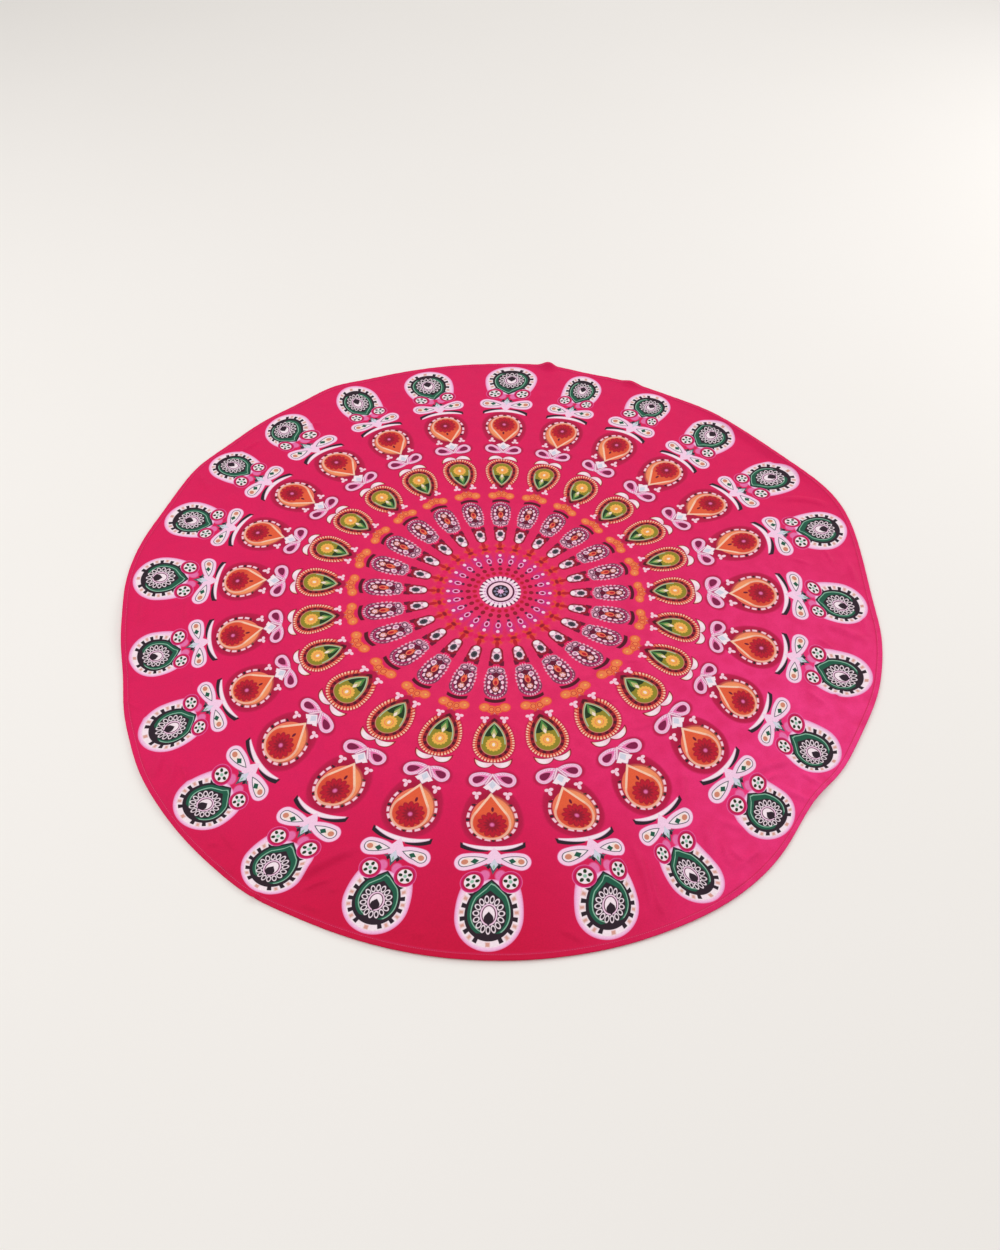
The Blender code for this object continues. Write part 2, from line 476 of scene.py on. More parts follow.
def make_stitches(middle):
    """One row of short stitches round the hem, lying on the cloth."""
    count = round(TAU * (CLOTH_RADIUS - STITCH_INSET) / STITCH_PITCH)
    points = stitch_points(count) - (middle[0], middle[1], 0)
    mesh = bpy.data.meshes.new("hem_stitches")
    mesh.from_pydata(points.tolist(), [], stitch_faces(count))
    mesh.shade_smooth()
    stitches = bpy.data.objects.new("hem_stitches", mesh)
    bpy.context.scene.collection.objects.link(stitches)
    return stitches


# ---------------------------------------------------------------- shading by formula
class Field:
    """A number that varies over a surface: the output of a shader node.

    Sums, differences and products of fields add the nodes that work them out.
    """

    def __init__(self, tree, socket):
        self.tree = tree
        self.socket = socket

    def made(self, operation, *others, clamp=False):
        node = self.tree.nodes.new("ShaderNodeMath")
        node.operation = operation
        node.use_clamp = clamp
        for slot, value in zip(node.inputs, (self,) + others):
            fill(self.tree, slot, value)
        return Field(self.tree, node.outputs[0])

    def __add__(self, other):
        return self.made("ADD", other)

    def __radd__(self, other):
        return self.made("ADD", other)

    def __sub__(self, other):
        return self.made("SUBTRACT", other)

    def __rsub__(self, other):
        return self.made("MULTIPLY_ADD", -1.0, other)

    def __mul__(self, other):
        return self.made("MULTIPLY", other)

    def __truediv__(self, other):
        return self.made("MULTIPLY", 1 / other)

    def __neg__(self):
        return self.made("MULTIPLY", -1.0)


def fill(tree, slot, value):
    """Gives a node's input a field or a plain value."""
    if isinstance(value, Field):
        tree.links.new(value.socket, slot)
    else:
        slot.default_value = value


def size(a):
    """The number without its sign."""
    return a.made("ABSOLUTE")


def low(a, b):
    return a.made("MINIMUM", b)


def high(a, b):
    return a.made("MAXIMUM", b)


def length(x, y):
    """How far a point is from the origin."""
    return x.made("MULTIPLY_ADD", x, y * y).made("SQRT")


def angle(x, y):
    """The angle from the +Y way to the point, clockwise, in radians."""
    return x.made("ARCTAN2", y)


def below(a, b):
    """1 where a is less than b, else 0."""
    return a.made("LESS_THAN", b)


def clamped(a):
    """The number, kept between 0 and 1."""
    return a.made("ADD", 0.0, clamp=True)


def wave(a):
    """How far a number is from the nearest whole one."""
    return a.made("PINGPONG", 0.5)


def linear(shade):
    """A colour written as six hexadecimal digits, as the shader takes it."""
    parts = [int(shade[index:index + 2], 16) / 255 for index in (0, 2, 4)]
    parts = [p / 12.92 if p <= 0.04045 else ((p + 0.055) / 1.055) ** 2.4 for p in parts]
    return (*parts, 1.0)


class Ink:
    """Lays one shape over another. Depths are mm, counted inwards from a shape's edge."""

    def __init__(self, tree, ground):
        self.tree = tree
        self.colour = ground

    def blend(self, share, colour):
        node = self.tree.nodes.new("ShaderNodeMix")
        node.data_type = "RGBA"
        inputs = [slot for slot in node.inputs if slot.enabled]
        fill(self.tree, inputs[0], share)
        fill(self.tree, inputs[1], self.colour)
        fill(self.tree, inputs[2], colour)
        output = [slot for slot in node.outputs if slot.enabled][0]
        self.colour = Field(self.tree, output)

    def paint(self, shade, depth, soft=0.8):
        self.blend(depth.made("MULTIPLY_ADD", 1 / soft, 0.5, clamp=True), linear(shade))


# ---------------------------------------------------------------- the print
# The colours of the print, as they are on the cloth
GROUND = "E91860"
CRIMSON = "C0124A"
SCARLET = "C2142F"
BLOOD = "96122C"
WINE = "6E0F30"
PLUM = "5C1B3E"
DAMSON = "86174A"
NIGHT = "2C1C28"
SOOT = "541020"
WHITE = "FFECF5"
CREAM = "FFE6DA"
BLUSH = "FFD2E4"
PALE_LILAC = "FED4EF"
LILAC = "F8BEE6"
MAUVE = "B8789E"
ASH_ROSE = "C994AC"
BERRY = "B63266"
ROSE = "EC74AE"
MAGENTA = "D81B70"
CORAL = "F5785A"
FLAME = "EE5C38"
ORANGE = "EC5F3A"
PEACH = "FFCEB2"
AMBER = "F8B652"
OLIVE = "94892A"
LEAF = "BDBB77"
FOREST = "20391A"
GRASS = "4F8A43"
MINT = "B4C8A4"
GREEN = "1C5C46"
TEAL = "8FC2A8"
SLATE = "565A64"
ICE = "D8DAEA"
CLAY = "D98A72"
DUSK = "8A3C5C"
SHELL = "F2AEC8"
TANGERINE = "F6844E"
STEEL = "8C88A4"
CERISE = "CF2C80"
VERMILION = "EA4632"
WATERMELON = "EE4A56"
GARNET = "AE0C3C"
APRICOT = "FA9C66"
BRICK = "DC4432"
PALE_CLAY = "DFA294"


# Each shape below gives how deep a point lies inside its edge, in mm. It is less than 0
# outside. The lower of two shapes is what they share, and minus a shape is what is outside it.
def disc(x, y, radius):
    return radius - length(x, y)


def oval(x, y, half_x, half_y):
    return (1 - length(x / half_x, y / half_y)) * min(half_x, half_y)


def loop(x, y, half_x, half_y, half_line):
    """The outline of an oval."""
    return half_line - size(oval(x, y, half_x, half_y))


def diamond(x, y, half_x, half_y):
    return (1 - size(x) / half_x - size(y) / half_y) * min(half_x, half_y)


def drop_shift(y, radius, tip):
    """How far beyond the axis each curved side of a drop has its centre."""
    return below(y, 0) * ((tip * tip - radius * radius) / (2 * radius))


def drop(x, y, radius, tip):
    """Round above, and drawn in by full curves to a point at the distance tip below."""
    shift = drop_shift(y, radius, tip)
    return radius + shift - length(size(x) + shift, y)


def straight_drop(x, y, radius, tip):
    """Round above, and drawn in by straight lines to a point at the distance tip below."""
    slope = radius / tip
    fall = math.sqrt(1 - slope * slope)
    across = size(x)
    beside = radius - across * fall + y * slope
    return low(beside, radius - length(x, high(y, across * (-slope / fall))))


def pointed_drop(x, y, radius, tip, slack=1.14):
    """A drop with a sharper point, cut by a straight one that is wider by the slack."""
    return low(drop(x, y, radius, tip), straight_drop(x, y, radius * slack, tip))


def club(x, y, narrow, wide, run):
    """A round-ended bar, narrow at the origin and wide at the distance run above it."""
    share = clamped(y / run)
    return narrow + share * (wide - narrow) - length(x, y - share * run)


def bar(x, y, from_x, from_y, to_x, to_y, half_width):
    """A round-ended bar between two points."""
    run_x = to_x - from_x
    run_y = to_y - from_y
    span = run_x * run_x + run_y * run_y
    share = clamped((x - from_x) * (run_x / span) + (y - from_y) * (run_y / span))
    return half_width - length(x - from_x - share * run_x, y - from_y - share * run_y)


def ring_of(x, y, count, at, half_x, half_y, offset=0.0):
    """Ovals in a ring round the origin, their half_y along its radii."""
    reach = length(x, y)
    across = wave(angle(x, y) * (count / TAU) + offset) * reach * (TAU / count)
    return oval(across, reach - at, half_x, half_y)


def leaning(x, y, degrees):
    """The two coordinates in a frame that leans by so much, clockwise."""
    cosine = math.cos(math.radians(degrees))
    sine = math.sin(math.radians(degrees))
    return x * cosine - y * sine, x * sine + y * cosine


def rosette(ink, x, y):
    """The small flower in the middle of the print."""
    reach = length(x, y)
    ink.paint(LILAC, 40.5 - reach, soft=3)
    ink.paint(PLUM, ring_of(x, y, 26, 38.4, 1.9, 3.6, 0.5))
    ink.paint(WHITE, ring_of(x, y, 26, 35, 2.9, 6.8))
    ink.paint(PALE_LILAC, 32.6 - reach)
    ink.paint(MAUVE, ring_of(x, y, 26, 31.2, 0.9, 1.6, 0.5))
    ink.paint(PLUM, 28.2 - reach)
    ink.paint(BLUSH, 24.4 - reach)
    ink.paint(NIGHT, 17.4 - reach)
    ink.paint(STEEL, ring_of(x, y, 8, 11.2, 2.7, 2.9))
    ink.paint(LILAC, ring_of(x, y, 8, 3.6, 1.5, 3.4))


def dots(ink, x, y):
    """A string of beads, the nearest to the rosette."""
    ink.paint(CERISE, oval(x, y - 10, 8.6, 18), soft=6)
    ink.paint(SCARLET, oval(x, y + 34.5, 4.2, 4.4), soft=2)
    ink.paint(BLOOD, oval(x, y + 22, 4.4, 5.0))
    ink.paint(PLUM, oval(x, y + 9.5, 3.3, 3.0))
    ink.paint(LILAC, oval(x, y - 1, 5.0, 7.0))
    ink.paint(MAGENTA, oval(x, y - 1, 3.3, 5.0))
    ink.paint(WINE, oval(x, y - 2, 2.2, 3.0))
    ink.paint(MAGENTA, oval(x, y - 16.5, 4.9, 6.0))
    ink.paint(PALE_LILAC, oval(x, y - 16.5, 3.3, 3.8))


def brace(ink, x, y, side):
    """A red knot between the beads and the bud."""
    ink.paint(WATERMELON, oval(x, y - 1.5, 12, 15), soft=7)
    ink.paint(VERMILION, low(9.4 - side, 11 - size(y)), soft=2.5)
    ink.paint(GROUND, oval(side - 10.5, y, 4.6, 6.2), soft=2)
    ink.paint(GROUND, oval(x, y + 10, 4.6, 3.8), soft=2)
    ink.paint(SCARLET, oval(x, y - 12, 4.2, 4.2))
    ink.paint(SCARLET, oval(x, y, 6.6, 4.4))
    ink.paint(BLOOD, oval(x, y, 4.6, 2.8))


def bud(ink, x, y, side):
    """A bud on its stalk, with a ring of seeds."""
    ink.paint(SCARLET, bar(x, y, 0, -35.5, 0, -17.5, 3.4))
    ink.paint(WINE, low(14.4 - side, 6 - size(y - 16.5)))
    ink.paint(GROUND, oval(x, y - 22.5, 7.0, 5.4))
    ink.paint(BLOOD, club(x, y + 11.5, 11.8, 13.2, 17))
    ink.paint(ASH_ROSE, oval(x, y + 4, 9.2, 16.5))
    ink.paint(BLUSH, ring_of(x, y * 0.78, 7, 7.2, 2.8, 2.8, 0.5))
    ink.paint(WHITE, oval(x, y + 16, 6.2, 4.8))
    ink.paint(SLATE, oval(x, y, 6.0, 8.0))
    ink.paint(NIGHT, ring_of(x, y * 0.78, 7, 2.8, 0.9, 2.6, 0.5))


def paddle(ink, x, y, side):
    """A club with a beaded rim, a flower and two scrolls."""
    body = club(x, y + 20, 15.8, 20.8, 36)
    ink.paint(DUSK, body + 1.2)
    ink.paint(SHELL, ring_of(x, y * 0.56, 28, 20.2, 1.4, 1.9))
    ink.paint(PLUM, body - 3.2)
    ink.paint(BERRY, body - 4.4)
    ink.paint(PLUM, body - 7.4)
    ink.paint(BLUSH, ring_of(x, (y - 6) * 0.70, 10, 13.0, 2.9, 2.8))
    ink.paint(WINE, oval(x, y - 9, 9.0, 16))
    ink.paint(CORAL, oval(x, y + 1, 5.4, 9.0))
    ink.paint(SCARLET, oval(x, y - 1, 3.0, 5.2))
    ink.paint(ORANGE, oval(x, y + 8.5, 3.0, 4.2))
    ink.paint(CLAY, oval(x, y - 15.5, 5.6, 6.2))
    ink.paint(BLUSH, ring_of(x, y - 16, 5, 2.9, 1.4, 2.0))
    ink.paint(BLUSH, disc(side - 9.6, y + 12, 5.2))
    ink.paint(MAUVE, disc(side - 9.6, y + 12, 3.0))
    ink.paint(WINE, diamond(side, y + 17, 5.2, 8.6))
    ink.paint(ASH_ROSE, oval(side - 7.6, y + 28.5, 8.6, 6.6))
    ink.paint(PLUM, loop(side - 7.4, y + 28, 5.6, 4.0, 0.8))
    ink.paint(BLUSH, oval(side - 7.6, y + 27.8, 3.0, 2.0))


def bow(ink, x, y, side):
    """An orange bow with a dark arch under it."""
    arch = low(disc(x, y + 51, 38), -disc(x, y + 58.6, 39))
    ink.paint(WINE, low(arch, 18.6 - side) + 0.5)
    ink.paint(SOOT, low(arch, 18.0 - side) - 0.3)
    ink.paint(FLAME, oval(side - 18, y + 2.5, 10.8, 10.2))
    ink.paint(FLAME, oval(side - 6.5, y - 2, 9.6, 8.8))
    ink.paint(FLAME, diamond(side, y - 13, 8.0, 11))
    ink.paint(TANGERINE, oval(side - 18.4, y + 2.5, 8.4, 7.6))
    ink.paint(CORAL, oval(side - 19.6, y + 3, 4.6, 3.8), soft=2)
    ink.paint(AMBER, oval(side - 20, y + 3, 2.4, 2.0))
    ink.paint(TANGERINE, oval(side - 6.2, y - 2.5, 6.0, 7.2))
    ink.paint(SCARLET, loop(side - 6.0, y - 2.5, 4.4, 5.0, 0.6))
    ink.paint(PEACH, diamond(side, y - 14, 2.6, 5.4))


def sprig(ink, x, y):
    """A three-lobed sprig, one each side of the spoke."""
    ink.paint(BLUSH, oval(x, y - 3.2, 3.2, 5.0))
    ink.paint(BLUSH, oval(x - 3.8, y + 3.6, 3.8, 3.1))
    ink.paint(BLUSH, oval(x + 3.8, y + 3.6, 3.8, 3.1))


def yellow_drop(ink, x, y, side):
    """The eye of the inner feather, with rays and spots round it."""
    body = drop(x, y, 21.8, 48)
    fringe = body + 14.8
    rays = wave(angle(x, y + 4) * (42 / TAU)) - 0.18
    ink.paint(CRIMSON, body + 16.6, soft=4)
    ink.paint(SCARLET, low(fringe, y + 46))
    ink.paint(CORAL, low(low(fringe, y + 45), rays * 6))
    ink.paint(PEACH, low(low(low(fringe, -11.0 - body), y + 41), rays * 6 - 0.4))
    ink.paint(BLOOD, body + 7.8)
    spots = wave(angle(x, y + 2) * (14 / TAU))
    ink.paint(SOOT, low(low(body + 6.8, -1.6 - body), (0.24 - spots) * 14), soft=1.5)
    ink.paint(CLAY, body + 1.4)
    ink.paint(OLIVE, body)
    ink.paint(FOREST, low(body - 1.0, -14.5 - y - side * 0.2))
    ink.paint(MINT, low(1.0 - size(body - 1.6), -1 - y))
    ink.paint(OLIVE, oval(x, y + 11, 15.5, 7.6))
    ink.paint(GRASS, diamond(side, y + 27, 6.6, 17))
    ink.paint(LEAF, diamond(side, y + 23, 5.0, 12))
    ink.paint(CREAM, diamond(side, y + 19, 3.0, 6.0))
    ink.paint(AMBER, ring_of(x, y, 14, 11.2, 2.8, 3.0))
    ink.paint(AMBER, disc(x, y, 11.6))
    ink.paint(CORAL, loop(x, y, 7.2, 7.2, 0.6))
    ink.paint(CREAM, oval(x, y, 2.6, 3.6))


def crescents(ink, side, y):
    """Two pale crescents on dark ones, which meet under the loops."""
    dark = low(disc(side - 15, y, 18.6), -disc(side - 7, y + 35.5, 41.6))
    ink.paint(BLOOD, dark)
    pale = low(low(disc(side - 15, y, 16.4), -disc(side - 7, y + 35.5, 43.4)), side - 1.2)
    ink.paint(PEACH, pale)
    ink.paint(WHITE, low(pale * 3, 28 - side), soft=5)
    ink.paint(BLUSH, low(pale * 3, 13 - side), soft=7)


def loops(ink, side, y):
    """Two slanting loops that meet in a white diamond."""
    across, along = leaning(side - 27, y, -21)
    ink.paint(CRIMSON, oval(across + 3, along, 22, 17.5), soft=4)
    ring = drop(along, across, 13.2, 29)
    ink.paint(MAUVE, ring + 0.8)
    ink.paint(PALE_LILAC, ring)
    ticks = wave(angle(along, across) * (32 / TAU)) - 0.33
    ink.paint(ROSE, low(low(ring - 1.0, 4.2 - ring), ticks * 4))
    ink.paint(ROSE, ring - 5.2)
    ink.paint(WINE, drop(along, across - 0.5, 6.4, 15.0))
    ink.paint(DAMSON, drop(along, across - 0.5, 5.2, 12.5))
    ink.paint(MAUVE, bar(side, y, 0, -10, 11, 8, 2.6))
    ink.paint(BLUSH, bar(side, y, 0, -11, 11, 8, 1.4))
    ink.paint(MAUVE, diamond(side, y - 12, 14.2, 14.6))
    ink.paint(WHITE, diamond(side, y - 12, 12.8, 13.2))
    ink.paint(WHITE, diamond(side - 9, y - 14.5, 7.0, 5.0))
    ink.paint(ICE, diamond(side, y - 9.5, 6.4, 8.4))


def orange_drop(ink, x, y, side):
    """The eye of the middle feather, with a rim of beads and a flower."""
    radius, tip = 35, 45
    rim = 39
    bead_pitch = 30.6
    ink.paint(CRIMSON, drop(x, y - 2, 50.5, 80), soft=4)
    ink.paint(GARNET, drop(x, y - 1, 44, 60), soft=9)
    body = drop(x, y, radius, tip)
    shift = drop_shift(y, radius, tip)
    run = angle(y, side + shift) * (shift + rim)
    cell = (run - rim * math.pi / 2) / bead_pitch
    row = low(2.2 - size(body + 4.6), y + 31)
    ink.paint(BLUSH, low(row, (0.145 - size(wave(cell) - 0.287)) * 26), soft=1.2)
    ink.paint(NIGHT, low(low(3.1 - size(body + 4.4), y + 30), (0.07 - wave(cell)) * 30))
    ink.paint(CORAL, body)
    ink.paint(APRICOT, low(body - 1, -x - 2), soft=12)
    line = straight_drop(x - 2.0, y - 5.5, 29.0, 51)
    ink.paint(PEACH, line + 4.0)
    ink.paint(ORANGE, line)
    ink.paint(BRICK, low(line - 1.5, y + 6), soft=16)
    ink.paint(BLOOD, ring_of(x, y - 9, 13, 17.2, 4.9, 7.2), soft=1.4)
    ink.paint(SCARLET, ring_of(x, y - 9, 13, 16.6, 3.7, 6.8), soft=1.4)
    ink.paint(SCARLET, disc(x, y - 9, 15.4))
    ink.paint(BLOOD, ring_of(x, y - 9, 13, 9.2, 1.9, 5.0), soft=2)
    ink.paint(BLOOD, disc(x, y - 9, 8.4), soft=3)
    ink.paint(BERRY, disc(x, y - 9, 4.6))
    ink.paint(ROSE, disc(x, y - 9, 3.0), soft=2)
    ink.paint(WINE, oval(x + 1.0, y + 20, 2.3, 4.6))


def moustache(ink, x, y, side):
    """A pale arc over two dark ones."""
    dark = low(disc(side - 16, y + 50.5, 62.2), -disc(x, y + 76, 83.8))
    ink.paint(NIGHT, low(low(dark, side - 9), 50.8 - side))
    pale = low(disc(x, y + 75, 83.6), -disc(x, y + 122, 123.8))
    ink.paint(PALE_LILAC, low(pale + 0.6, 46.4 - side), soft=1.5)
    ink.paint(WHITE, low(pale - 0.6, 45.4 - side))


def wings(ink, x, y, side):
    """Two wings that meet in a dark star and a pale diamond."""
    across, along = leaning(side - 43, y, -6)
    wing = drop(along, across, 15.4, 46)
    ink.paint(ROSE, wing + 1.0)
    ink.paint(PALE_LILAC, wing)
    ink.paint(PALE_LILAC, straight_drop(x, y + 2, 13.5, 24))
    leaf = drop(along, across - 0.5, 9.2, 33)
    ink.paint(SLATE, leaf + 0.4)
    ink.paint(WHITE, leaf - 1.1)
    ink.paint(CREAM, low(disc(across + 3, along, 7.0), leaf - 1.4))
    ink.paint(CLAY, oval(across - 0.5, along, 5.2, 4.8))
    ink.paint(GREEN, diamond(across + 14, along - 1.5, 6.4, 5.4))
    ink.paint(SLATE, diamond(side, y - 12, 6.4, 15))
    ink.paint(SLATE, diamond(side, y - 10, 17, 6.4))
    ink.paint(NIGHT, diamond(side - 8, y - 13, 3.4, 4.4))
    ink.paint(ICE, diamond(side, y - 8.5, 6.4, 11))
    ink.paint(TEAL, diamond(side, y - 13, 2.0, 5.0))


def wheels(ink, x, y):
    """Two small wheels, one each side of the spoke."""
    hub = length(x, y)
    ink.paint(ROSE, oval(x + 17, y + 9, 8.4, 9.4), soft=3)
    ink.paint(ROSE, 18.4 - hub)
    ink.paint(MAGENTA, 17.6 - hub)
    ink.paint(CRIMSON, 15.6 - hub, soft=2)
    ink.paint(WHITE, 12.2 - hub)
    ink.paint(FOREST, ring_of(x, y, 5, 8.0, 2.8, 3.4, 0.3))
    ink.paint(TEAL, 3.0 - hub, soft=2)


def green_drop(ink, x, y, side):
    """The eye of the outer feather, toothed round its edge, in a pale band."""
    band = 52 - length(x, high(y, y * 0.62))
    band = low(band, y + 54)
    ink.paint(ROSE, band + 1.0)
    ink.paint(LILAC, band, soft=3)
    ink.paint(PALE_LILAC, band - 3, soft=3)
    ink.paint(BLUSH, band - 7)
    body = pointed_drop(x, y, 37.8, 55)
    teeth = angle(x, y + 1) * (13 / TAU)
    between = low(low(body + 8.2, -1.6 - body), y + 34)
    ink.paint(WHITE, low(body + 9, y + 36))
    ink.paint(PALE_CLAY, low(low(between, side - 16), (wave(teeth) - 0.37) * 16), soft=2.6)
    ink.paint(NIGHT, low(low(body + 7.0, side - 6), low((0.17 - wave(teeth)) * 18, y + 34)))
    ink.paint(PALE_CLAY, low(between, low(3.4 - side, y - 16)), soft=2)
    ink.paint(NIGHT, body)
    field = pointed_drop(x, y + 2, 33.2, 49.5)
    sides = low(field, 26 - y)
    ink.paint(GREEN, sides)
    ink.paint(NIGHT, pointed_drop(x, y - 1, 27, 38))
    ink.paint(TEAL, low(0.8 - size(field - 0.9 - clamped((x + 6) / 12) * 4.4), 24 - y))
    rings = ring_of(x, (y + 1) * 0.88, 15, 19.8, 3.6, 5.4)
    ink.paint(WHITE, rings)
    ink.paint(NIGHT, rings - 1.25)
    ink.paint(PALE_LILAC, oval(x, y + 1, 13.4, 15.8))
    ink.paint(PLUM, oval(x, y + 1, 11.2, 13.8))
    ink.paint(WHITE, oval(x, y + 1, 9.4, 12.2))
    ink.paint(NIGHT, straight_drop(x, y - 5, 7.6, 10.5))
    ink.paint(NIGHT, diamond(side, y - 8, 6.0, 7.4))


# How far each motif sits from the middle of the print, in mm along its spoke
DOTS_AT = 85
BRACE_AT = 120.5
BUD_AT = 164
PADDLE_AT = 225.5
BOW_AT = 286
INNER_SPRIG_AT = 311
YELLOW_DROP_AT = 365
CRESCENTS_AT = 395.5
LOOPS_AT = 437
OUTER_SPRIG_AT = 467
ORANGE_DROP_AT = 514
MOUSTACHE_AT = 565
WINGS_AT = 594
WHEELS_AT = 631
GREEN_DROP_AT = 684

# How far the paired motifs sit from the middle of their spoke, in mm
INNER_SPRIG_SIDE = 17.5
OUTER_SPRIG_SIDE = 26
WHEELS_SIDE = 29.5


def spoke(ink, x, y, side):
    """One spoke, in mm: x across it, side the same for both its halves, y out from the middle."""
    dots(ink, x, y - DOTS_AT)
    brace(ink, x, y - BRACE_AT, side)
    bud(ink, x, y - BUD_AT, side)
    paddle(ink, x, y - PADDLE_AT, side)
    bow(ink, x, y - BOW_AT, side)
    orange_drop(ink, x, y - ORANGE_DROP_AT, side)
    yellow_drop(ink, x, y - YELLOW_DROP_AT, side)
    sprig(ink, side - INNER_SPRIG_SIDE, y - INNER_SPRIG_AT)
    loops(ink, side, y - LOOPS_AT)
    crescents(ink, side, y - CRESCENTS_AT)
    sprig(ink, side - OUTER_SPRIG_SIDE, y - OUTER_SPRIG_AT)
    moustache(ink, x, y - MOUSTACHE_AT, side)
    green_drop(ink, x, y - GREEN_DROP_AT, side)
    wings(ink, x, y - WINGS_AT, side)
    wheels(ink, side - WHEELS_SIDE, y - WHEELS_AT)


# ---------------------------------------------------------------- materials
SPOKES = 24
FIRST_SPOKE = math.radians(0.6)  # how far the first spoke is turned clockwise from +Y
HEM_LINE = (CLOTH_RADIUS - HEM_WIDTH) / MM  # the hem's inner edge, in mm from the middle
HEM_LINE_HALF_WIDTH = 0.6
HEM_LINE_SHADE = "D01E54"

# The unevenness of the ground: broad clouds and small specks, each with its changes to the
# metre and its shade. The specks are what is left of their noise after the gain and the cut.
CLOUDS_PER_METRE = 5.0
CLOUD_SHADE = "E11458"
SPECKS_PER_METRE = 34.0
SPECK_GAIN = 1.4
SPECK_CUT = 0.5
SPECK_SHADE = "DA185C"
GROUND_DETAIL = 3.0

# Painted light: brighter pools painted into the ground, on the right and round the middle.
# Each has its middle and reach in mm, its strength and its colour
PAINTED_LIGHT_POOLS = (
    (620, -350, 620, 1.0, "FC3C8C"),
    (0, -60, 430, 0.6, "F83C72"),
)

# Painted shade: the near left is painted a deeper, darker red. It comes in to the left of
# one line and below another, each over a run of its own, in mm.
PAINTED_SHADE_LEFT_OF = 420
PAINTED_SHADE_LEFT_RUN = 400
PAINTED_SHADE_BELOW = -420
PAINTED_SHADE_BELOW_RUN = 320
PAINTED_SHADE_STRENGTH = 0.9
PAINTED_SHADE_COLOUR = "CE0038"

# The underside, where the print shows through paler, but not in the turned hem
UNDER_STRENGTH = 0.62
UNDER_SHADE = "EFA9C0"

# The relief of the cloth in metres, the threads of its weave, and unevenness of four sizes:
# each a noise's changes to the metre, its detail, its roughness and its share of the relief
RELIEF = 0.0005
RELIEF_STRENGTH = 0.8
WEAVE_PER_MM = 0.62
WEAVE_SHARE = 0.3
NAP = (420.0, 2.0, 0.6, 0.3)
SLUBS = (90.0, 3.0, 0.6, 0.8)
RUMPLES = (26.0, 2.0, 0.5, 6.0)
CRUMPLES = (10.0, 2.0, 0.5, 14.0)

# How the nap darkens and lightens the colour
NAP_CONTRAST = 0.30
NAP_DEPTH = 0.05
BLACK = "000000"

# The thread of the hem: its two shades, how often they change to the metre, and its ply
THREAD_SHADES = ("D4306E", "EE5A92")
THREAD_CHANGES = 300.0
PLY_CHANGES = 2500.0
PLY_RELIEF = 0.0001

FLOOR_SHADES = ("F8F5F2", "F6F3EF")
FLOOR_CHANGES = 1.2


def new_material(name):
    material = bpy.data.materials.new(name)
    material.use_nodes = True
    return material, material.node_tree, material.node_tree.nodes["Principled BSDF"]


def noise(tree, place, scale, detail=2.0, roughness=0.5):
    """Smooth random values between 0 and 1, with so many changes to the metre."""
    node = tree.nodes.new("ShaderNodeTexNoise")
    fill(tree, node.inputs["Vector"], place)
    fill(tree, node.inputs["Scale"], scale)
    fill(tree, node.inputs["Detail"], detail)
    fill(tree, node.inputs["Roughness"], roughness)
    return Field(tree, node.outputs["Fac"])


def coordinates(tree, output):
    node = tree.nodes.new("ShaderNodeTexCoord")
    return Field(tree, node.outputs[output])


def parts_of(tree, vector):
    node = tree.nodes.new("ShaderNodeSeparateXYZ")
    fill(tree, node.inputs[0], vector)
    return [Field(tree, output) for output in node.outputs]


def add_bump(tree, shader, height, distance, strength=1.0):
    node = tree.nodes.new("ShaderNodeBump")
    fill(tree, node.inputs["Height"], height)
    node.inputs["Distance"].default_value = distance
    node.inputs["Strength"].default_value = strength
    tree.links.new(node.outputs["Normal"], shader.inputs["Normal"])


def print_coordinates(tree):
    """Millimetres across and up the flat print, from its middle."""
    node = tree.nodes.new("ShaderNodeUVMap")
    node.uv_map = "print_place"
    across, up, _ = parts_of(tree, Field(tree, node.outputs["UV"]))
    wide = CLOTH_RADIUS * 2 / MM
    return (across - 0.5) * wide, (up - 0.5) * wide


def tint_ground_with_painted_light(ink, place, across, up):
    """The uneven pink that lies under the motifs, with painted pools of light on the right
    and round the middle, and painted shade at the near left.
    """
    clouds = noise(ink.tree, place, CLOUDS_PER_METRE, GROUND_DETAIL)
    ink.blend(clouds, linear(CLOUD_SHADE))
    # painted light: brighter pools of pink laid over the ground
    for x, y, reach, strength, shade in PAINTED_LIGHT_POOLS:
        painted_light = clamped(1 - length(across - x, up - y) / reach)
        ink.blend(painted_light * strength, linear(shade))
    specks = noise(ink.tree, place, SPECKS_PER_METRE, GROUND_DETAIL)
    ink.blend(clamped(specks * SPECK_GAIN - SPECK_CUT), linear(SPECK_SHADE))
    # painted shade: the near left is darkened towards a deeper red
    near = clamped((up - PAINTED_SHADE_BELOW) / -PAINTED_SHADE_BELOW_RUN)
    left = clamped((PAINTED_SHADE_LEFT_OF - across) / PAINTED_SHADE_LEFT_RUN)
    ink.blend(near * left * PAINTED_SHADE_STRENGTH, linear(PAINTED_SHADE_COLOUR))


def print_motifs(ink, across, up, reach):
    """The spokes, all one spoke turned round the middle, the rosette and the hem's line."""
    turn = (angle(across, up) - FIRST_SPOKE) * (SPOKES / TAU)
    turn = (turn - turn.made("ROUND")) * (TAU / SPOKES)
    x = turn.made("SINE") * reach
    y = turn.made("COSINE") * reach
    spoke(ink, x, y, size(x))
    rosette(ink, across, up)
    ink.paint(HEM_LINE_SHADE, HEM_LINE_HALF_WIDTH - size(reach - HEM_LINE), soft=2.0)


def cloth_relief(tree, place, across, up):
    """The weave with its nap and slubs, and the slight rumples that the mesh leaves out."""
    warp = wave((across + up) * WEAVE_PER_MM)
    weft = wave((across - up) * WEAVE_PER_MM)
    relief = low(warp, weft) * WEAVE_SHARE
    for scale, detail, roughness, share in (NAP, SLUBS, RUMPLES, CRUMPLES):
        relief = relief + noise(tree, place, scale, detail, roughness) * share
    return relief


